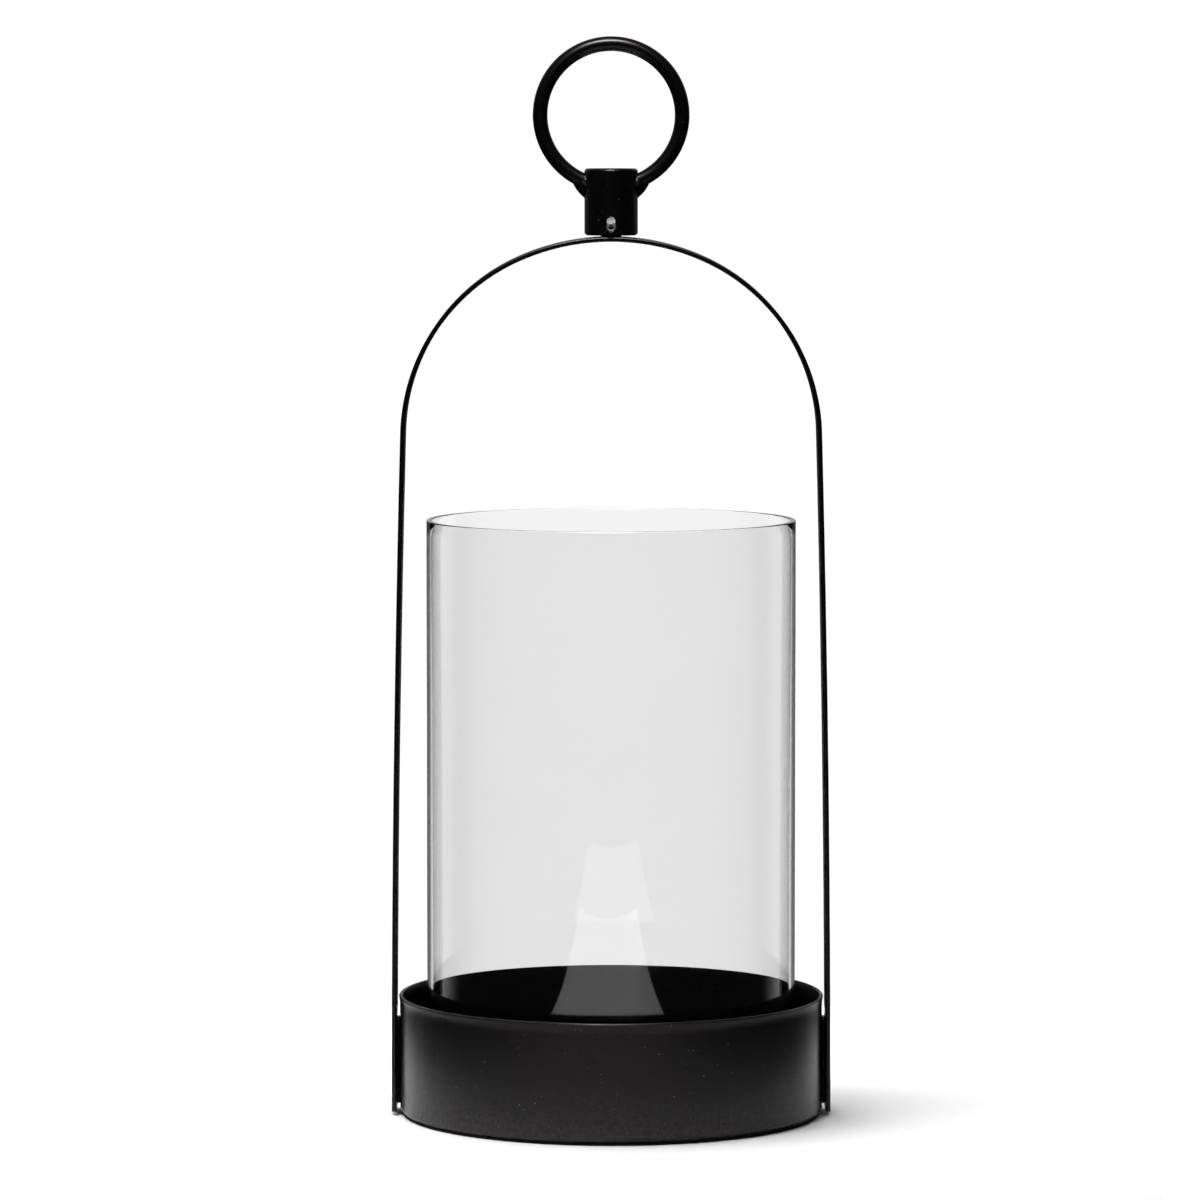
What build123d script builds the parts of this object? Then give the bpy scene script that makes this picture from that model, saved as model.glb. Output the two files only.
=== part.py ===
"""Candle lantern: a steel tray with an arched strip handle, a loose glass cylinder and a ring on a sleeve.

Millimetres, +Z up. The origin is the middle of the tray on the surface that the lantern stands on.
The arch lies in the XZ plane, and the grub screw in the sleeve faces -Y, the front.
"""

import math
import os

from build123d import *

os.makedirs("parts", exist_ok=True)

# Felt disc glued under the tray
felt_radius = 84.9
felt_thickness = 1.2

# Tray, pressed from sheet
tray_radius = 86.1
tray_height = 47.4
sheet = 1.5
tray_corner = 1.8
rim_flare = 0.5
rim_flare_height = 4.0
rim_edge = 0.5

tray_bottom = felt_thickness
tray_top = tray_bottom + tray_height
tray_floor = tray_bottom + sheet

# Glass cylinder, standing loose on the tray's floor
glass_radius = 75.0
glass_wall = 2.0
glass_height = 240.0
glass_lip = 0.5

# Arch, a 20 x 2 mm strip. Its outer face is two arcs and a slightly bowed leg on each side
strip_width = 20.0
strip_thickness = 2.0
strip_edge = 0.3
crown_z = 357.4
crown_radius = 92.6
crown_angle = 24.7
shoulder_radius = 80.1
shoulder_angle = 63.7
leg_foot_x = 89.4
leg_foot_z = 1.6

# Welds between the legs and the tray's wall
leg_weld_width = 8.0
leg_weld_bottom = 4.0
leg_weld_top = 39.5

# Stud on the crown, riveted over in the strip
stud_radius = 4.2
stud_height = 22.0
stud_edge = 0.8
spigot_radius = 3.0

# Sleeve, which sits on the stud with a small gap over the crown
sleeve_radius = 10.8
sleeve_gap = 0.5
sleeve_top_edge = 1.2
sleeve_bottom_edge = 0.8
bore_clearance = 0.05
sleeve_bottom = crown_z + sleeve_gap
sleeve_top = sleeve_bottom + 27.0
stud_top = crown_z + stud_height

# M4 grub screw, low in the front of the sleeve, with a drill mark over its hole
screw_radius = 2.0
screw_length = 8.0
screw_clearance = 0.05
screw_tip_gap = 0.3
screw_edge = 0.4
screw_z = sleeve_bottom + 3.4
socket_flats = 2.0
socket_depth = 2.4
screw_tip = stud_radius + screw_tip_gap
screw_end = screw_tip + screw_length
drill_mark_radius = 1.8
drill_mark_depth = 0.35
drill_mark_rise = 2.4

# Ring, a 6 mm rod with its two ends shaped to the sleeve's sides
rod_radius = 3.0
ring_radius = 28.7
ring_z = 406.4

# Fillet welds in the corners under the ring's ends
ring_weld_leg = 4.4
ring_weld_toe_z = 372.9
ring_weld_half_width = 2.8
ring_weld_edge = 1.6


# Base felt: the disc that the lantern stands on
with BuildPart() as base_felt:
    with BuildSketch():
        Circle(felt_radius)
    extrude(amount=felt_thickness)
base_felt.part.label = "base_felt"
export_step(base_felt.part, "parts/base_felt.step")


# Tray: a floor and a wall from one sheet, with the rim flared a little
with BuildPart() as tray:
    with BuildSketch(Plane.XZ) as tray_profile:
        with BuildLine():
            base = Line((0, tray_bottom), (tray_radius - tray_corner, tray_bottom))
            corner = JernArc(base @ 1, (1, 0), tray_corner, 90)
            wall = Line(corner @ 1, (tray_radius, tray_top - rim_flare_height))
            TangentArc(wall @ 1, (tray_radius + rim_flare, tray_top), tangent=wall % 1)
            offset(amount=sheet, side=Side.LEFT)
        make_face()
        fillet(tray_profile.vertices().group_by(Axis.Y)[-2:], radius=rim_edge)
    revolve(axis=Axis.Z)
tray.part.label = "tray"
export_step(tray.part, "parts/tray.step")


# Glass cylinder: a plain tube with fire-polished ends
with BuildPart() as glass_cylinder:
    with BuildSketch(Plane.XY.offset(tray_floor)):
        Circle(glass_radius)
        Circle(glass_radius - glass_wall, mode=Mode.SUBTRACT)
    extrude(amount=glass_height)
    glass_ends = glass_cylinder.edges().filter_by(GeomType.CIRCLE)
    fillet(glass_ends, radius=glass_lip)
glass_cylinder.part.label = "glass_cylinder"
export_step(glass_cylinder.part, "parts/glass_cylinder.step")


# Arch band: half of the strip's edge view, mirrored, then given its width
with BuildPart() as arch_band:
    with BuildSketch(Plane.XZ):
        with BuildLine():
            crown = JernArc((0, crown_z), (1, 0), crown_radius, -crown_angle)
            shoulder = JernArc(crown @ 1, crown % 1, shoulder_radius, -shoulder_angle)
            TangentArc(shoulder @ 1, (leg_foot_x, leg_foot_z), tangent=shoulder % 1)
            offset(amount=strip_thickness, side=Side.RIGHT)
        make_face()
        mirror(about=Plane.YZ)
    extrude(amount=strip_width / 2, both=True)
    strip_sides = arch_band.faces().filter_by(Axis.Y)
    chamfer(strip_sides.edges(), length=strip_edge)
    with BuildSketch(Plane.XY.offset(crown_z + 1)):
        Circle(spigot_radius)
    extrude(amount=-strip_thickness - 2, mode=Mode.SUBTRACT)
arch_band.part.label = "arch_band"
export_step(arch_band.part, "parts/arch_band.step")


# Crown stud: a round stud whose spigot is riveted flush in the strip
with BuildPart() as crown_stud:
    with BuildSketch(Plane.XY.offset(crown_z)):
        Circle(stud_radius)
    extrude(amount=stud_height)
    chamfer(crown_stud.edges().sort_by(Axis.Z)[-1], length=stud_edge)
    with BuildSketch(Plane.XY.offset(crown_z)):
        Circle(spigot_radius)
    extrude(amount=-strip_thickness)
crown_stud.part.label = "crown_stud"
export_step(crown_stud.part, "parts/crown_stud.step")


# Leg welds: the filler between each leg and the tray's wall
def make_leg_weld(side):
    """The weld behind one leg, with side -1 for the left and 1 for the right."""
    with BuildPart() as weld:
        with BuildSketch(Plane.XY.offset(leg_weld_bottom)):
            with Locations((side * (tray_radius + strip_thickness / 2), 0)):
                Rectangle(2 * strip_thickness, leg_weld_width)
            Circle(tray_radius, mode=Mode.SUBTRACT)
        extrude(amount=leg_weld_top - leg_weld_bottom)
        add(arch_band.part, mode=Mode.SUBTRACT)
    return weld


for name, side in (("left_leg_weld", -1), ("right_leg_weld", 1)):
    leg_weld = make_leg_weld(side)
    leg_weld.part.label = name
    export_step(leg_weld.part, f"parts/{name}.step")


# Sleeve: a round bar with a blind bore, a tapped hole in its front and a drill mark over the hole
with BuildPart() as sleeve:
    with BuildSketch(Plane.XY.offset(sleeve_bottom)):
        Circle(sleeve_radius)
    extrude(amount=sleeve_top - sleeve_bottom)
    fillet(sleeve.edges().sort_by(Axis.Z)[-1], radius=sleeve_top_edge)
    chamfer(sleeve.edges().sort_by(Axis.Z)[0], length=sleeve_bottom_edge)
    with BuildSketch(Plane.XY.offset(sleeve_bottom)):
        Circle(stud_radius + bore_clearance)
    extrude(amount=stud_top - sleeve_bottom, mode=Mode.SUBTRACT)
    with BuildSketch(Plane.XZ):
        with Locations((0, screw_z)):
            Circle(screw_radius + screw_clearance)
    extrude(amount=sleeve_radius + 1, mode=Mode.SUBTRACT)
    mark_sphere = (drill_mark_radius**2 + drill_mark_depth**2) / (2 * drill_mark_depth)
    with Locations((0, drill_mark_depth - sleeve_radius - mark_sphere, screw_z + drill_mark_rise)):
        Sphere(mark_sphere, mode=Mode.SUBTRACT)
sleeve.part.label = "sleeve"
export_step(sleeve.part, "parts/sleeve.step")


# Grub screw: hexagon socket outwards, flat point just clear of the stud
with BuildPart() as set_screw:
    with BuildSketch(Plane.XZ.offset(screw_tip)):
        with Locations((0, screw_z)):
            Circle(screw_radius)
    extrude(amount=screw_length)
    chamfer(set_screw.edges().filter_by(GeomType.CIRCLE), length=screw_edge)
    with BuildSketch(Plane.XZ.offset(screw_end)):
        with Locations((0, screw_z)):
            RegularPolygon(radius=socket_flats / 2, side_count=6, major_radius=False)
    extrude(amount=-socket_depth, mode=Mode.SUBTRACT)
set_screw.part.label = "set_screw"
export_step(set_screw.part, "parts/set_screw.step")


# Ring: a full ring of rod, opened where the sleeve stands
with BuildPart() as ring:
    with Locations(Location((0, 0, ring_z), (90, 0, 0))):
        Torus(ring_radius, rod_radius)
    with Locations((0, 0, sleeve_bottom)):
        Cylinder(
            sleeve_radius,
            sleeve_top - sleeve_bottom,
            align=(Align.CENTER, Align.CENTER, Align.MIN),
            mode=Mode.SUBTRACT,
        )
ring.part.label = "ring"
export_step(ring.part, "parts/ring.step")


# Ring welds: a rounded wedge in each corner between the ring's underside and the sleeve's side
def ring_height(x, radius):
    """The height, below the ring's middle, of the circle of this radius around the ring's axis."""
    return ring_z - math.sqrt(radius**2 - x**2)


def make_ring_weld(side):
    """The weld under one end of the ring, with side -1 for the left and 1 for the right."""
    toe = sleeve_radius + ring_weld_leg
    with BuildPart() as weld:
        with BuildSketch(Plane.XZ):
            with BuildLine():
                Polyline(
                    (0, ring_weld_toe_z),
                    (side * sleeve_radius, ring_weld_toe_z),
                    (side * toe, ring_height(toe, ring_radius + rod_radius)),
                    (side * toe, ring_height(toe, ring_radius)),
                    (side * sleeve_radius, ring_height(sleeve_radius, ring_radius)),
                    (0, ring_height(sleeve_radius, ring_radius)),
                    close=True,
                )
            make_face()
        extrude(amount=ring_weld_half_width, both=True)
        slanted = weld.faces().sort_by(Axis.Z)[1]
        fillet(slanted.edges().filter_by(Axis.Y, reverse=True), radius=ring_weld_edge)
        with Locations((0, 0, sleeve_bottom)):
            Cylinder(
                sleeve_radius,
                sleeve_top - sleeve_bottom,
                align=(Align.CENTER, Align.CENTER, Align.MIN),
                mode=Mode.SUBTRACT,
            )
        add(ring.part, mode=Mode.SUBTRACT)
    return weld


for name, side in (("left_ring_weld", -1), ("right_ring_weld", 1)):
    ring_weld = make_ring_weld(side)
    ring_weld.part.label = name
    export_step(ring_weld.part, f"parts/{name}.step")
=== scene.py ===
"""Looks of the candle lantern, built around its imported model. Metres, +Z up, front at -Y."""

import math

import bmesh
import bpy
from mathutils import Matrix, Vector, noise


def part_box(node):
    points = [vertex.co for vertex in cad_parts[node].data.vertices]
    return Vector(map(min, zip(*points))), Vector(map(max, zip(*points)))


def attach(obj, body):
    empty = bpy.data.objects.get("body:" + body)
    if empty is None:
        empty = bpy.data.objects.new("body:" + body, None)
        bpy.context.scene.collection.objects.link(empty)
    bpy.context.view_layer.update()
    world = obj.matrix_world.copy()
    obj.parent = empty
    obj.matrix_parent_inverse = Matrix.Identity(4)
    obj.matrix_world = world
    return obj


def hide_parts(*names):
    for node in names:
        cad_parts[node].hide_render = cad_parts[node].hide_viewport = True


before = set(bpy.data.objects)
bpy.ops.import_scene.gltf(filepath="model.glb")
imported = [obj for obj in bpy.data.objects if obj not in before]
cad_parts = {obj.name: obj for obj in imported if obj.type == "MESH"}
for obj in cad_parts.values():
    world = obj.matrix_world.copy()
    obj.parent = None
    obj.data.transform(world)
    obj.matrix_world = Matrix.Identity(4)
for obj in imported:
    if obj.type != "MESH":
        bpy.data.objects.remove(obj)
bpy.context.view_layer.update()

MM = 0.001

# Powder coat, with specks of dust in it and bare steel where it is worn off
COAT_COLOUR = (0.0024, 0.0020, 0.0022)
COAT_ROUGHNESS = 0.28
SPECK_COLOUR = (0.12, 0.11, 0.11)
WORN_COLOUR = (0.42, 0.43, 0.43)
WORN_ROUGHNESS = (0.75, 0.75, 0.75)

# Painted reflection of the bright table: the outer walls are painted lighter outside this radius and below
# this height
TABLE_REFLECTION_COLOUR = (0.032, 0.030, 0.031)
TABLE_REFLECTION_INNER = 85.2 * MM
TABLE_REFLECTION_TOP = 46.0 * MM

# Clear glass. Its outer face lies beyond this radius and its inner face inside it
GLASS_OUTSIDE = 74.6 * MM
GLASS_TINTS = (0.910, 0.913, 0.912), (0.922, 0.925, 0.924)
GLASS_EDGE_COLOUR = (0.06, 0.065, 0.065)
GLASS_INDEX = 1.47

# Felt, whose black along the tray's foot is also painted shade for the gap under the tray, and the grub
# screw's zinc plate
FELT_AND_GAP_SHADE_COLOURS = (0.003, 0.003, 0.003), (0.012, 0.011, 0.012)
ZINC_COLOUR = (0.17, 0.18, 0.18)
ZINC_ROUGHNESS = 0.55


# ---------------------------------------------------------------- nodes and materials

def new_material(name):
    """A node material with its Principled shader."""
    material = bpy.data.materials.new(name)
    material.use_nodes = True
    return material, material.node_tree.nodes["Principled BSDF"]


def add_node(material, kind, links=None, **values):
    """A node of the material. values sets its properties or inputs, links joins its inputs to sockets."""
    node = material.node_tree.nodes.new(kind)
    for name, value in values.items():
        label = name.replace("_", " ").title()
        if label in node.inputs:
            node.inputs[label].default_value = value
        else:
            setattr(node, name, value)
    for name, socket in (links or {}).items():
        join(material, socket, node, name)
    return node


def join(material, socket, node, name):
    """Feeds one of a node's inputs, given by its name or number, from a socket."""
    material.node_tree.links.new(socket, node.inputs[name])


def grain(material, place, size, detail, roughness=0.5):
    """Noise whose blobs are about size metres across."""
    return add_node(
        material,
        "ShaderNodeTexNoise",
        {"Vector": place},
        scale=1 / size,
        detail=detail,
        roughness=roughness,
    ).outputs["Fac"]


def between(material, socket, low, high, from_low=0.0, from_high=1.0):
    """The socket's range from from_low to from_high, spread from low to high."""
    return add_node(
        material,
        "ShaderNodeMapRange",
        {"Value": socket},
        from_min=from_low,
        from_max=from_high,
        to_min=low,
        to_max=high,
    ).outputs["Result"]


def blend_colours(material, factor, first, second):
    """first where factor is 0 and second where it is 1, each a colour or a socket."""
    mix = add_node(material, "ShaderNodeMix", data_type="RGBA")
    join(material, factor, mix, "Factor")
    for index, colour in ((6, first), (7, second)):
        if isinstance(colour, bpy.types.NodeSocket):
            join(material, colour, mix, index)
        else:
            mix.inputs[index].default_value = (*colour, 1.0)
    return mix.outputs[2]


def bump(material, height, distance, strength=1.0, over=None):
    """A bump from a height socket, on top of another bump's normal if one is given."""
    links = {"Height": height}
    if over is not None:
        links["Normal"] = over
    return add_node(material, "ShaderNodeBump", links, distance=distance, strength=strength).outputs["Normal"]


def spot(material, place, centre, radius, softness):
    """1 inside a ball around a place on the part and 0 outside, with a soft, slightly ragged edge."""
    ragged = grain(material, place, 1.2 * MM, detail=2)
    shift = between(material, ragged, -0.12 * radius, 0.12 * radius)
    away = add_node(material, "ShaderNodeVectorMath", {"Vector": place}, operation="DISTANCE")
    away.inputs[1].default_value = centre
    total = add_node(material, "ShaderNodeMath", operation="ADD")
    join(material, away.outputs["Value"], total, 0)
    join(material, shift, total, 1)
    return between(material, total.outputs[0], 1.0, 0.0, radius - softness, radius + softness)


def beyond(material, place, radius):
    """1 at places farther than radius from the upright axis and 0 inside, with a narrow ramp between."""
    flat = add_node(material, "ShaderNodeVectorMath", {"Vector": place}, operation="MULTIPLY")
    flat.inputs[1].default_value = (1, 1, 0)
    reach = add_node(material, "ShaderNodeVectorMath", {"Vector": flat.outputs[0]}, operation="LENGTH")
    return between(material, reach.outputs["Value"], 0.0, 1.0, radius, radius + 0.2 * MM)


def product(material, first, second):
    """One socket times another."""
    node = add_node(material, "ShaderNodeMath", {"Value": first}, operation="MULTIPLY")
    join(material, second, node, 1)
    return node.outputs[0]


def painted_table_reflection(material, place):
    """Painted reflection of the bright table on the outer walls, a patchy lightening which grows from nothing
    at TABLE_REFLECTION_TOP down to the table.
    """
    split = add_node(material, "ShaderNodeSeparateXYZ", {"Vector": place})
    low = between(material, split.outputs["Z"], 1.0, 0.0, 0.0, TABLE_REFLECTION_TOP)
    falloff = product(material, product(material, low, low), low)
    patchy = between(material, grain(material, place, 1.5 * MM, detail=4), 0.4, 1.6, 0.25, 0.75)
    return product(material, product(material, falloff, patchy), beyond(material, place, TABLE_REFLECTION_INNER))


def powder_coat(name, bare_spots=()):
    """Satin black powder coat: fine orange peel, soft cloudy sheen and a few pale dust specks.

    bare_spots are (centre, radius) of small places where the coat is off and the steel shows.
    """
    material, shader = new_material(name)
    place = add_node(material, "ShaderNodeTexCoord").outputs["Object"]
    cloud = grain(material, place, 30 * MM, detail=1)
    peel = grain(material, place, 1.1 * MM, detail=2)
    fine = grain(material, place, 0.35 * MM, detail=1)
    specks = between(material, grain(material, place, 0.9 * MM, detail=0), 0.0, 1.0, 0.84, 0.87)
    # The outer walls are painted lighter low down: a painted reflection of the bright table.
    table_reflected = blend_colours(material, painted_table_reflection(material, place), COAT_COLOUR, TABLE_REFLECTION_COLOUR)
    shade = blend_colours(material, specks, table_reflected, SPECK_COLOUR)
    rough = between(material, cloud, COAT_ROUGHNESS - 0.02, COAT_ROUGHNESS + 0.02)
    for centre, radius in bare_spots:
        bare = spot(material, place, centre, radius, 0.15 * MM)
        shade = blend_colours(material, bare, shade, WORN_COLOUR)
        rough = blend_colours(material, bare, rough, WORN_ROUGHNESS)
        join(material, bare, shader, "Metallic")
    join(material, shade, shader, "Base Color")
    join(material, rough, shader, "Roughness")
    rough_skin = bump(material, peel, 0.04 * MM, 0.2)
    join(material, bump(material, fine, 0.01 * MM, 0.15, rough_skin), shader, "Normal")
    shader.inputs["Specular IOR Level"].default_value = 0.18
    shader.inputs["Specular Tint"].default_value = (1.0, 0.92, 0.95, 1.0)
    return material


def zinc_plate(name):
    """Dull zinc plate, a little cloudy, with fine scratches."""
    material, shader = new_material(name)
    place = add_node(material, "ShaderNodeTexCoord").outputs["Object"]
    cloud = grain(material, place, 1.4 * MM, detail=4)
    fine = grain(material, place, 0.2 * MM, detail=2)
    shade = blend_colours(material, cloud, tuple(0.72 * c for c in ZINC_COLOUR), ZINC_COLOUR)
    rough = between(material, fine, ZINC_ROUGHNESS - 0.08, ZINC_ROUGHNESS + 0.12, 0.3, 0.7)
    join(material, shade, shader, "Base Color")
    join(material, rough, shader, "Roughness")
    join(material, bump(material, fine, 0.02 * MM, 0.4), shader, "Normal")
    shader.inputs["Metallic"].default_value = 1.0
    return material


def clear_glass(name):
    """Clear glass with a faint grey tint and very slight waves.

    Its colour is made darker where its outside is seen edge-on.
    """
    material, shader = new_material(name)
    place = add_node(material, "ShaderNodeTexCoord").outputs["Object"]
    wave = grain(material, place, 30 * MM, detail=1)
    turned = add_node(material, "ShaderNodeLayerWeight", blend=0.5).outputs["Facing"]
    edge_on = between(material, turned, 0.0, 1.0, 0.77, 0.81)
    edge = product(material, edge_on, beyond(material, place, GLASS_OUTSIDE))
    tint = blend_colours(material, wave, *GLASS_TINTS)
    tint = blend_colours(material, edge, tint, GLASS_EDGE_COLOUR)
    join(material, tint, shader, "Base Color")
    join(material, bump(material, wave, 0.2 * MM, 0.15), shader, "Normal")
    shader.inputs["Roughness"].default_value = 0.0
    shader.inputs["IOR"].default_value = GLASS_INDEX
    shader.inputs["Transmission Weight"].default_value = 1.0
    return material


def felt(name):
    """Black wool felt: matted fibres and a little fuzz; its black also serves as painted shade for the gap
    under the tray.
    """
    material, shader = new_material(name)
    place = add_node(material, "ShaderNodeTexCoord").outputs["Object"]
    fibres = grain(material, place, 0.4 * MM, detail=5, roughness=0.7)
    tufts = grain(material, place, 2 * MM, detail=3)
    join(material, blend_colours(material, fibres, *FELT_AND_GAP_SHADE_COLOURS), shader, "Base Color")
    join(material, between(material, tufts, 0.85, 1.0), shader, "Roughness")
    join(material, bump(material, fibres, 0.2 * MM, 0.8), shader, "Normal")
    shader.inputs["Specular IOR Level"].default_value = 0.1
    return material


def paint(obj, material):
    """Gives an object one material."""
    obj.data.materials.clear()
    obj.data.materials.append(material)


# ---------------------------------------------------------------- meshes

def mesh_object(name, vertices, faces, smooth=True):
    """An object in the scene from lists of points and faces."""
    mesh = bpy.data.meshes.new(name)
    mesh.from_pydata([tuple(v) for v in vertices], [], faces)
    mesh.validate()
    outward = bmesh.new()
    outward.from_mesh(mesh)
    bmesh.ops.recalc_face_normals(outward, faces=outward.faces)
    outward.to_mesh(mesh)
    outward.free()
    for polygon in mesh.polygons:
        polygon.use_smooth = smooth
    obj = bpy.data.objects.new(name, mesh)
    bpy.context.scene.collection.objects.link(obj)
    return obj


def arc_points(centre, radius, start, end, count):
    """Points (r, z) along an arc of a profile, with angles in degrees."""
    points = []
    for i in range(count + 1):
        angle = math.radians(start + (end - start) * i / count)
        points.append((centre[0] + radius * math.cos(angle), centre[1] + radius * math.sin(angle)))
    return points


def spin(name, profile, segments, shape):
    """A ring-shaped mesh: a closed profile of (r, z) turned about Z.

    shape(r, z, angle) gives the place of each point of the profile at each angle.
    """
    vertices, faces = [], []
    rows = len(profile)
    for i in range(segments):
        angle = 2 * math.pi * i / segments
        for point in profile:
            r, z = shape(*point, angle)
            vertices.append((r * math.cos(angle), r * math.sin(angle), z))
    for i in range(segments):
        following = (i + 1) % segments
        for j in range(rows):
            up = (j + 1) % rows
            faces.append((i * rows + j, following * rows + j, following * rows + up, i * rows + up))
    return mesh_object(name, vertices, faces)


def skin(name, rings, smooth=True):
    """A closed mesh over a row of rings of points, with flat caps on the two ends.

    All the rings have the same count of points.
    """
    count = len(rings[0])
    vertices = [point for ring in rings for point in ring]
    faces = []
    for i in range(len(rings) - 1):
        near, far = i * count, (i + 1) * count
        for j in range(count):
            following = (j + 1) % count
            faces.append((near + j, near + following, far + following, far + j))
    faces.append(tuple(range(count)))
    faces.append(tuple(range(len(vertices) - count, len(vertices))))
    return mesh_object(name, vertices, faces, smooth)


def wobble(size, *place):
    """Smooth noise from -1 to 1 at a place, with bumps about size metres across."""
    return noise.noise(Vector(place) / size)


# ---------------------------------------------------------------- glass

GLASS_WALL = 2.0 * MM
GLASS_LIP = 0.5 * MM
GLASS_WAVE = 0.06 * MM
GLASS_WAVE_LENGTH = 60 * MM
GLASS_LEVELS = 40
GLASS_SEGMENTS = 288
LIP_STEPS = 6


def glass_tube():
    """The glass cylinder, with fire-polished lips and walls that are very slightly out of true."""
    low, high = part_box("glass_cylinder")
    outer = high.x
    inner = outer - GLASS_WALL
    bottom, top = low.z, high.z
    straight = top - bottom - 2 * GLASS_LIP
    lips = [
        ((outer - GLASS_LIP, top - GLASS_LIP), 0),
        ((inner + GLASS_LIP, top - GLASS_LIP), 90),
        ((inner + GLASS_LIP, bottom + GLASS_LIP), 180),
        ((outer - GLASS_LIP, bottom + GLASS_LIP), 270),
    ]
    corners = [arc_points(centre, GLASS_LIP, start, start + 90, LIP_STEPS) for centre, start in lips]
    steps = range(1, GLASS_LEVELS)
    up = [(outer, bottom + GLASS_LIP + straight * i / GLASS_LEVELS) for i in steps]
    down = [(inner, top - GLASS_LIP - straight * i / GLASS_LEVELS) for i in steps]
    profile = up + corners[0] + corners[1] + down + corners[2] + corners[3]

    def out_of_true(r, z, angle):
        place = Vector((3 * math.cos(angle), 3 * math.sin(angle), z / GLASS_WAVE_LENGTH))
        return r - GLASS_WAVE * (1 + noise.noise(place)), z

    tube = spin("glass_tube", profile, GLASS_SEGMENTS, out_of_true)
    paint(tube, clear_glass("clear_glass"))
    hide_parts("glass_cylinder")
    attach(tube, "glass")


# ---------------------------------------------------------------- steel parts

COATED_NODES = ("tray", "crown_stud", "ring")
DRILL_MARK_RISE = 2.4 * MM
DRILL_MARK_RADIUS = 1.75 * MM


def coat_steel_parts():
    """Powder coat on the black steel and its welds, worn off in the drill mark over the grub screw."""
    coat = powder_coat("black_powder_coat")
    for name in COATED_NODES:
        paint(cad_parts[name], coat)
    screw_low, screw_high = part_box("set_screw")
    sleeve_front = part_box("sleeve")[0].y
    screw_z = (screw_low.z + screw_high.z) / 2
    mark = (0.0, sleeve_front, screw_z + DRILL_MARK_RISE)
    worn = powder_coat("marked_powder_coat", bare_spots=[(mark, DRILL_MARK_RADIUS)])
    paint(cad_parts["sleeve"], worn)
    arch_strip(coat)
    for side in (-1, 1):
        ring_weld(side, coat)
        leg_weld(side, coat)


def felt_disc_and_gap_shade():
    """Felt on the disc under the tray, whose black edge along the tray's foot is also painted shade for the
    gap beneath the tray.
    """
    paint(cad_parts["base_felt"], felt("black_felt"))


# ---------------------------------------------------------------- arch

STRIP_THICKNESS = 2.0 * MM
STRIP_ROUNDING = 0.7 * MM
CROWN_RADIUS = 92.6 * MM
CROWN_ANGLE = 24.7
SHOULDER_RADIUS = 80.1 * MM
SHOULDER_ANGLE = 63.7
ARCH_FOOT_X = 89.4 * MM
ARCH_FOOT_Z = 1.6 * MM
CROWN_STEPS = 24
SHOULDER_STEPS = 48
LEG_STEPS = 60
STRIP_EDGE_STEPS = 5
STRIP_WAVE = 0.03 * MM


def arch_path(top, foot):
    """Half of the arch's outer line from the crown down to the foot, as (x, z, outward angle in degrees)."""
    path = []
    centre = (0.0, top - CROWN_RADIUS)
    for i in range(CROWN_STEPS + 1):
        path.append((centre, CROWN_RADIUS, 90 - CROWN_ANGLE * i / CROWN_STEPS))
    turned = math.radians(90 - CROWN_ANGLE)
    inward = CROWN_RADIUS - SHOULDER_RADIUS
    centre = (centre[0] + inward * math.cos(turned), centre[1] + inward * math.sin(turned))
    for i in range(1, SHOULDER_STEPS + 1):
        path.append((centre, SHOULDER_RADIUS, 90 - CROWN_ANGLE - SHOULDER_ANGLE * i / SHOULDER_STEPS))
    points = []
    for (x, z), radius, angle in path:
        turned = math.radians(angle)
        points.append((x + radius * math.cos(turned), z + radius * math.sin(turned), angle))
    return points + leg_path(points[-1], foot)


def leg_path(start, foot):
    """The slightly bowed leg: the arc that leaves the shoulder along its tangent and ends at the foot."""
    x, z, angle = start
    out = Vector((math.cos(math.radians(angle)), math.sin(math.radians(angle))))
    chord = Vector((foot[0] - x, foot[1] - z))
    radius = -chord.length_squared / (2 * chord.dot(out))
    centre = Vector((x, z)) - out * radius
    sweep = 2 * math.degrees(math.asin(chord.length / (2 * radius)))
    points = []
    for i in range(1, LEG_STEPS + 1):
        outward = angle - sweep * i / LEG_STEPS
        turned = math.radians(outward)
        points.append((centre.x + radius * math.cos(turned), centre.y + radius * math.sin(turned), outward))
    return points


def strip_section(half_width):
    """The strip's section as (across, depth below its outer face), with well-rounded edges."""
    section = []
    reach = half_width - STRIP_ROUNDING
    deep = STRIP_THICKNESS - STRIP_ROUNDING
    corners = (reach, STRIP_ROUNDING), (reach, deep), (-reach, deep), (-reach, STRIP_ROUNDING)
    for centre, start in zip(corners, (-90, 0, 90, 180)):
        section += arc_points(centre, STRIP_ROUNDING, start, start + 90, STRIP_EDGE_STEPS)
    return section


def arch_strip(coat):
    """The arch's strip, with rounded edges and very slight waves from rolling and bending."""
    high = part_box("arch_band")[1]
    half = arch_path(high.z, (ARCH_FOOT_X, ARCH_FOOT_Z))
    line = [(-x, z, 180 - angle) for x, z, angle in reversed(half[1:])] + half
    section = strip_section(high.y)
    rings = []
    for x, z, angle in line:
        out = Vector((math.cos(math.radians(angle)), 0, math.sin(math.radians(angle))))
        ring = []
        for across, depth in section:
            wave = STRIP_WAVE * (1 + wobble(12 * MM, x, across, z))
            inward = depth + (wave if depth < STRIP_THICKNESS / 2 else -wave)
            ring.append(Vector((x, across, z)) - out * inward)
        rings.append(ring)
    strip = skin("rounded_arch_strip", rings)
    paint(strip, coat)
    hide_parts("arch_band")
    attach(strip, "frame")


# ---------------------------------------------------------------- welds

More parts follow.
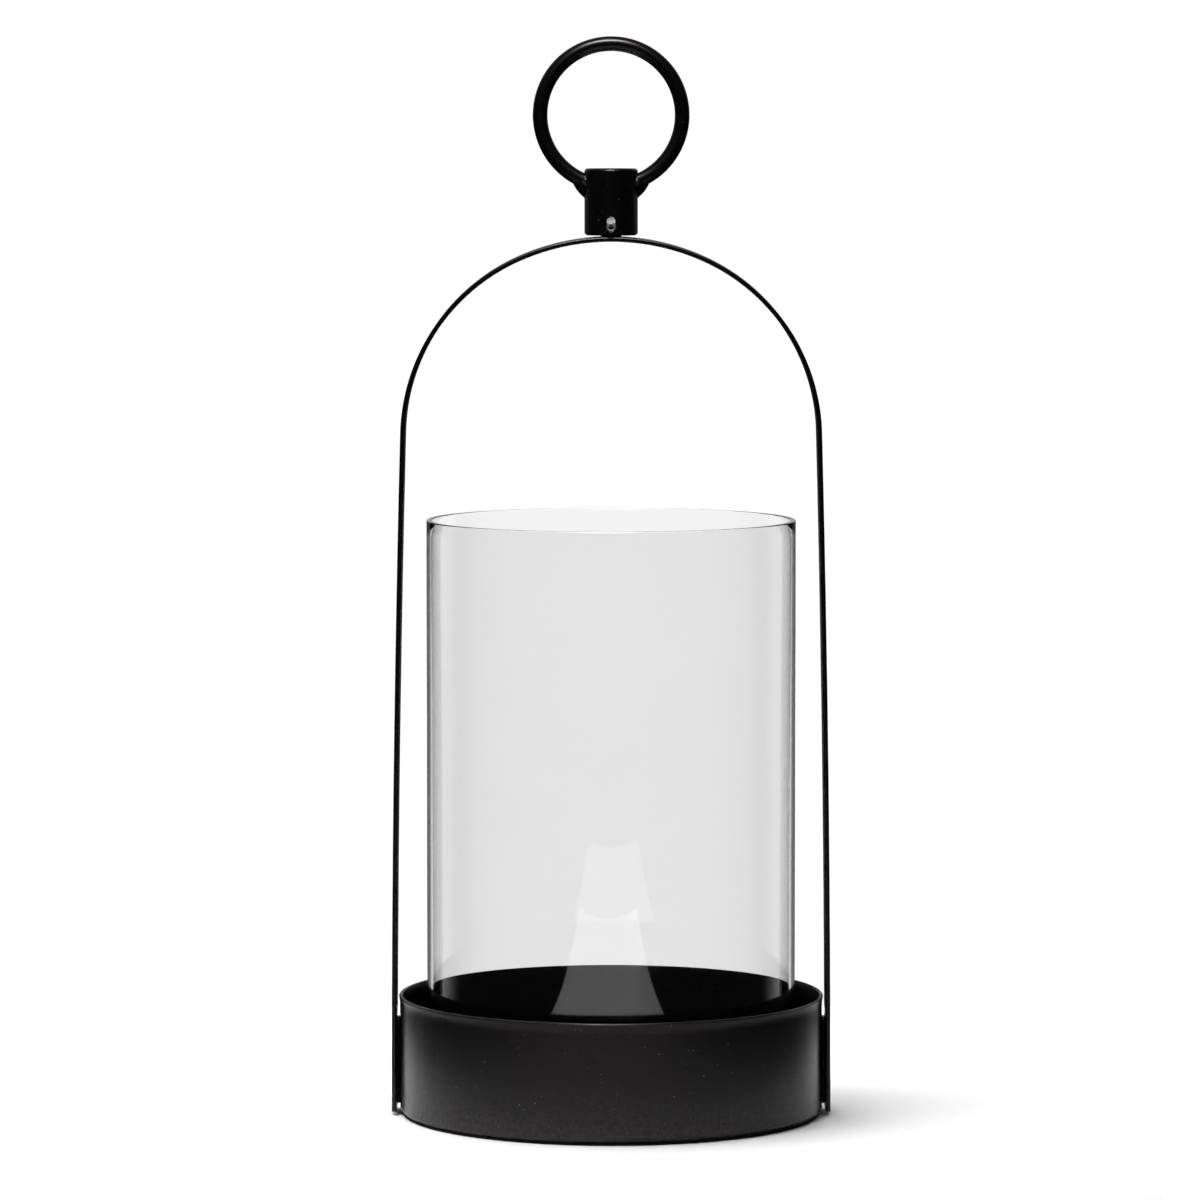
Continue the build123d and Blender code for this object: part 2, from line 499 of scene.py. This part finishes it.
BEAD_PITCH = 0.9 * MM
BEAD_CREST = 0.13 * MM
BEAD_BULGE = 0.35 * MM
BEAD_SINK = 0.4 * MM
BEAD_STEPS = 8
RING_WELD_ANGLE = 112
RING_WELD_STEPS = 112
RING_WELD_RADIUS = 5 * MM
LEG_WELD_STEP = 0.22 * MM
LEG_WELD_ROUNDING = 1.6 * MM
LEG_WELD_INSET = 0.5 * MM
LEG_WELD_WOBBLE = 0.35 * MM
LEG_BEAD_STEPS = 6


def crest(distance):
    """The height of a weld's ripples along the bead: round crests with sharp valleys between."""
    return BEAD_CREST * abs(math.sin(math.pi * distance / BEAD_PITCH))


def bulged(start, end, outward, height, count):
    """Points from start to end on a bow that stands out by height in its middle."""
    points = []
    for i in range(count + 1):
        share = i / count
        points.append(start.lerp(end, share) + outward * height * math.sin(math.pi * share))
    return points


def ring_weld(side, coat):
    """The rippled fillet weld that wraps the underside of one end of the ring, against the sleeve."""
    sleeve_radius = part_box("sleeve")[1].x
    ring_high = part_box("ring")[1]
    rod = ring_high.y
    mean = ring_high.x - rod
    middle = ring_high.z - ring_high.x
    start = -math.acos(sleeve_radius / mean)
    joint_z = middle + mean * math.sin(start)

    def on_rod(angle, along, radius):
        turn = start + along / mean
        reach = mean + radius * math.cos(angle)
        x, z = reach * math.cos(turn), middle + reach * math.sin(turn)
        return Vector((side * x, radius * math.sin(angle), z))

    def on_sleeve(angle, leg, sink):
        y = (rod + leg) * math.sin(angle)
        x = math.sqrt(sleeve_radius**2 - y**2) - sink
        return Vector((side * x, y, joint_z - (rod + leg) * math.cos(angle)))

    rings = []
    for i in range(RING_WELD_STEPS + 1):
        angle = math.radians(RING_WELD_ANGLE * (2 * i / RING_WELD_STEPS - 1))
        # under is 1 below the rod and 0 at the bead's two ends, and both legs grow with it
        under = 0.5 + 0.5 * math.cos(angle * 180 / RING_WELD_ANGLE)
        uneven = wobble(2.2 * MM, 4 * MM * math.cos(angle), 4 * MM * math.sin(angle), side * 9 * MM)
        sleeve_leg = (0.5 + 3.3 * under + 0.4 * uneven) * MM
        rod_leg = (0.7 + 2.9 * under - 0.5 * uneven) * MM
        foot = on_sleeve(angle, sleeve_leg, 0)
        toe = on_rod(angle, rod_leg, rod)
        corner = on_sleeve(angle, 0, 0)
        outward = ((foot + toe) / 2 - corner).normalized()
        height = (BEAD_BULGE + crest(RING_WELD_RADIUS * angle)) * (0.4 + 0.6 * under)
        ring = [on_sleeve(angle, sleeve_leg, BEAD_SINK)]
        ring += bulged(foot, toe, outward, height, BEAD_STEPS)
        ring += [on_rod(angle, rod_leg, rod - BEAD_SINK), on_rod(angle, 0, rod - 2 * BEAD_SINK)]
        rings.append(ring)
    name = ("left" if side < 0 else "right") + "_ring_weld"
    bead = skin(name + "_bead", rings)
    paint(bead, coat)
    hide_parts(name)
    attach(bead, "head")


def leg_weld(side, coat):
    """The rippled filler between one leg and the tray's wall, with rounded ends."""
    name = ("left" if side < 0 else "right") + "_leg_weld"
    low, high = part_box(name)
    near, far = sorted((abs(low.x), abs(high.x)))
    half = high.y
    wall = math.hypot(near, half)
    rows = round((high.z - low.z) / LEG_WELD_STEP)
    rings = []
    for i in range(rows + 1):
        z = low.z + (high.z - low.z) * i / rows
        inset = max(0.0, 1 - min(z - low.z, high.z - z) / LEG_WELD_ROUNDING)
        width = (half - LEG_WELD_INSET) * (0.55 + 0.45 * math.sqrt(1 - inset**2))
        height = BEAD_BULGE + 2 * crest(z)
        ring = []
        for edge in (1, -1):
            reach = width + LEG_WELD_WOBBLE * wobble(3 * MM, z, edge * 7 * MM, side * 5 * MM)
            at_wall = Vector((math.sqrt(wall**2 - reach**2), edge * reach, z))
            at_leg = Vector((far, edge * reach, z))
            across = bulged(at_wall, at_leg, Vector((0, edge, 0)), height, LEG_BEAD_STEPS)
            across = [at_wall - Vector((BEAD_SINK, 0, 0))] + across
            ring += across if edge > 0 else across[::-1]
        rings.append([Vector((side * point.x, point.y, point.z)) for point in ring])
    bead = skin(name + "_bead", rings)
    paint(bead, coat)
    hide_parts(name)
    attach(bead, "frame")


# ---------------------------------------------------------------- grub screw

THREAD_PITCH = 0.7 * MM
THREAD_DEPTH = 0.4 * MM
THREAD_SHARPNESS = 1.3
THREAD_ROWS_PER_TURN = 10
SCREW_SEGMENTS = 48
SCREW_CHAMFER = 0.45 * MM
SOCKET_FLATS = 2.0 * MM
SOCKET_DEPTH = 2.4 * MM
SOCKET_CONE = 0.4 * MM
SOCKET_POINT = 0.2 * MM
SOCKET_BEVEL = 0.12 * MM
SOCKET_MOUTH = 1.25 * MM


def screw_row(centre_x, centre_z, y, radius_at):
    """One ring of points around the screw at y, with radius_at giving the radius for each angle."""
    row = []
    for i in range(SCREW_SEGMENTS):
        angle = 2 * math.pi * i / SCREW_SEGMENTS
        radius = radius_at(angle)
        row.append(Vector((centre_x + radius * math.cos(angle), y, centre_z + radius * math.sin(angle))))
    return row


def hexagon(flats):
    """The radius of a hexagon with this width over its flats, as a function of the angle."""
    def radius_at(angle):
        turned = (angle + math.pi / 6) % (math.pi / 3) - math.pi / 6
        return flats / 2 / math.cos(turned)
    return radius_at


def threaded_screw():
    """The M4 grub screw: hexagon socket, chamfered ends and a helical thread."""
    low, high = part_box("set_screw")
    x, z = (low.x + high.x) / 2, (low.z + high.z) / 2
    outer = (high.x - low.x) / 2
    front, back = low.y, high.y

    def thread(y):
        chamfer = SCREW_CHAMFER - min(y - front, back - y)

        def radius_at(angle):
            phase = ((y - front) / THREAD_PITCH + angle / (2 * math.pi)) % 1.0
            groove = THREAD_DEPTH * (1 - abs(2 * phase - 1)) ** THREAD_SHARPNESS
            return outer - max(groove, chamfer)
        return radius_at

    rows = [
        screw_row(x, z, front + SOCKET_DEPTH, hexagon(SOCKET_POINT)),
        screw_row(x, z, front + SOCKET_DEPTH - SOCKET_CONE, hexagon(SOCKET_FLATS)),
        screw_row(x, z, front + SOCKET_BEVEL, hexagon(SOCKET_FLATS)),
        screw_row(x, z, front, lambda angle: SOCKET_MOUTH),
    ]
    count = round((back - front) / THREAD_PITCH * THREAD_ROWS_PER_TURN)
    for i in range(count + 1):
        y = front + (back - front) * i / count
        rows.append(screw_row(x, z, y, thread(y)))
    screw = skin("threaded_grub_screw", rows, smooth=False)
    paint(screw, zinc_plate("zinc_plate"))
    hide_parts("set_screw")
    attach(screw, "grub_screw")


# ---------------------------------------------------------------- studio

def aim(obj, place, target):
    """Puts a camera or light at a place, facing a target."""
    obj.location = place
    obj.rotation_euler = (Vector(target) - Vector(place)).to_track_quat("-Z", "Y").to_euler()


def softbox(name, place, target, size, power, spread=180, lights_floor=True):
    """A rectangular soft light, its beam narrowed to spread degrees.

    It lights what is matt and shows in no mirror image, or with lights_floor False it only makes glints.
    """
    light = bpy.data.lights.new(name, "AREA")
    light.shape = "RECTANGLE"
    light.size, light.size_y = size
    light.energy = power
    light.spread = math.radians(spread)
    obj = bpy.data.objects.new(name, light)
    obj.visible_diffuse = lights_floor
    obj.visible_glossy = not lights_floor
    bpy.context.scene.collection.objects.link(obj)
    aim(obj, place, target)


def white_floor():
    """A plain white board that the lantern stands on, wider at the front, most of all on its left."""
    front, back = -0.765, 0.30
    front_left, front_right, half_back = -0.26, 0.21, 0.205
    corners = [(front_left, front, 0), (front_right, front, 0), (half_back, back, 0), (-half_back, back, 0)]
    floor = mesh_object("floor", corners, [(0, 1, 2, 3)], smooth=False)
    material, shader = new_material("white_floor")
    shader.inputs["Base Color"].default_value = (0.88, 0.88, 0.88, 1)
    shader.inputs["Roughness"].default_value = 0.9
    shader.inputs["Specular IOR Level"].default_value = 0.0
    floor.data.materials.append(material)


def world_node(tree, kind, **settings):
    """A node of the world's tree."""
    node = tree.nodes.new(kind)
    for name, value in settings.items():
        setattr(node, name, value)
    return node


def ramp(tree, socket, start, end, low, high):
    """A smooth step of the world's tree, from low at start to high at end."""
    node = world_node(tree, "ShaderNodeMapRange", interpolation_type="SMOOTHSTEP")
    for name, value in (("From Min", start), ("From Max", end), ("To Min", low), ("To Max", high)):
        node.inputs[name].default_value = value
    tree.links.new(socket, node.inputs["Value"])
    return node.outputs["Result"]


def arithmetic(tree, operation, first, second=None):
    """The result of a math node of the world's tree.

    first is a socket, and second is a socket, a number or left out.
    """
    node = world_node(tree, "ShaderNodeMath", operation=operation)
    tree.links.new(first, node.inputs[0])
    if isinstance(second, bpy.types.NodeSocket):
        tree.links.new(second, node.inputs[1])
    elif second is not None:
        node.inputs[1].default_value = second
    return node.outputs[0]


def background(tree, strength):
    """A white background whose brightness comes from a socket."""
    node = world_node(tree, "ShaderNodeBackground")
    node.inputs["Color"].default_value = (1, 1, 1, 1)
    tree.links.new(strength, node.inputs["Strength"])
    return node.outputs[0]


def room_brightness(tree, x, y, z):
    """The dim room that is reflected, for a direction x, y, z.

    At its back are a paler wall above eye level and, below it, cards on both sides, brighter further out.
    """
    rear = ramp(tree, y, 0.2, 0.9, 0.0, 1.0)
    high = ramp(tree, z, 0.005, 0.018, 0.0, 0.5)
    wall = arithmetic(tree, "MULTIPLY", rear, high)
    dim = ramp(tree, z, -0.2, 0.5, 0.015, 0.06)
    sideways = arithmetic(tree, "ABSOLUTE", x)
    near = ramp(tree, sideways, 0.07, 0.12, 0.0, 0.06)
    far = ramp(tree, sideways, 0.36, 0.46, 0.0, 0.12)
    behind = ramp(tree, y, 0.4, 0.75, 0.0, 1.0)
    aside = arithmetic(tree, "MULTIPLY", arithmetic(tree, "ADD", near, far), behind)
    above_foot = ramp(tree, z, -0.20, -0.16, 0.0, 1.0)
    below_top = ramp(tree, z, -0.05, -0.035, 1.0, 0.0)
    cards = arithmetic(tree, "MULTIPLY", aside, arithmetic(tree, "MULTIPLY", above_foot, below_top))
    return arithmetic(tree, "ADD", arithmetic(tree, "ADD", wall, dim), cards)


def sees_white(tree, y, z):
    """1 for a ray that is looked along or has come through the glass, and 0 for any other.

    It has to be unreflected too, unless it leaves towards the back at or below eye level.
    """
    path = world_node(tree, "ShaderNodeLightPath").outputs
    direct = arithmetic(tree, "MAXIMUM", path["Is Camera Ray"], path["Is Transmission Ray"])
    unreflected = arithmetic(tree, "LESS_THAN", path["Glossy Depth"], 0.5)
    behind = ramp(tree, y, 0.35, 0.8, 0.0, 1.0)
    low = ramp(tree, z, 0.02, 0.06, 1.0, 0.0)
    backward = arithmetic(tree, "MULTIPLY", behind, low)
    return arithmetic(tree, "MULTIPLY", direct, arithmetic(tree, "MAXIMUM", unreflected, backward))


def studio_world():
    """White behind everything that is seen, a little brighter far below eye level, and else a dim room."""
    world = bpy.data.worlds.new("studio")
    bpy.context.scene.world = world
    world.use_nodes = True
    tree = world.node_tree
    tree.nodes.clear()
    direction = world_node(tree, "ShaderNodeSeparateXYZ")
    tree.links.new(world_node(tree, "ShaderNodeTexCoord").outputs["Generated"], direction.inputs[0])
    x, y, z = direction.outputs
    mix = world_node(tree, "ShaderNodeMixShader")
    tree.links.new(sees_white(tree, y, z), mix.inputs["Fac"])
    tree.links.new(background(tree, room_brightness(tree, x, y, z)), mix.inputs[1])
    tree.links.new(background(tree, ramp(tree, z, -0.28, -0.185, 1.17, 1.05)), mix.inputs[2])
    output = world_node(tree, "ShaderNodeOutputWorld")
    tree.links.new(mix.outputs[0], output.inputs["Surface"])


def studio_lights():
    """Two big lights overhead, a key from the left, and a bright one above the camera for the glints."""
    softbox("overhead", (-0.05, 0.16, 1.15), (0, 0.12, 0), (0.8, 0.6), 1.93, spread=50)
    softbox("front_overhead", (0, -0.65, 1.15), (0, -0.69, 0), (0.95, 0.6), 1.8, spread=42)
    softbox("left_key", (-0.75, -0.3, 1.2), (0, 0.03, 0), (1.2, 1.2), 2.85, spread=60)
    softbox("front_top", (-0.1, -0.95, 1.75), (0, 0, 0.42), (0.7, 0.5), 80.0, lights_floor=False)


CAMERA_LENS = 189.5
CAMERA_PLACE = (-0.0045, -2.5585, 0.4135)
CAMERA_PITCH = 4.55


def camera():
    """A long lens from the front at the height of the ring, tilted a little down."""
    data = bpy.data.cameras.new("camera")
    data.lens = CAMERA_LENS
    data.sensor_width = 36
    data.clip_end = 50
    obj = bpy.data.objects.new("camera", data)
    bpy.context.scene.collection.objects.link(obj)
    obj.location = CAMERA_PLACE
    obj.rotation_euler = (math.radians(90 - CAMERA_PITCH), 0, 0)
    bpy.context.scene.camera = obj


bpy.context.scene.view_settings.view_transform = "Standard"
camera()
studio_world()
studio_lights()
white_floor()
coat_steel_parts()
felt_disc_and_gap_shade()
threaded_screw()
glass_tube()
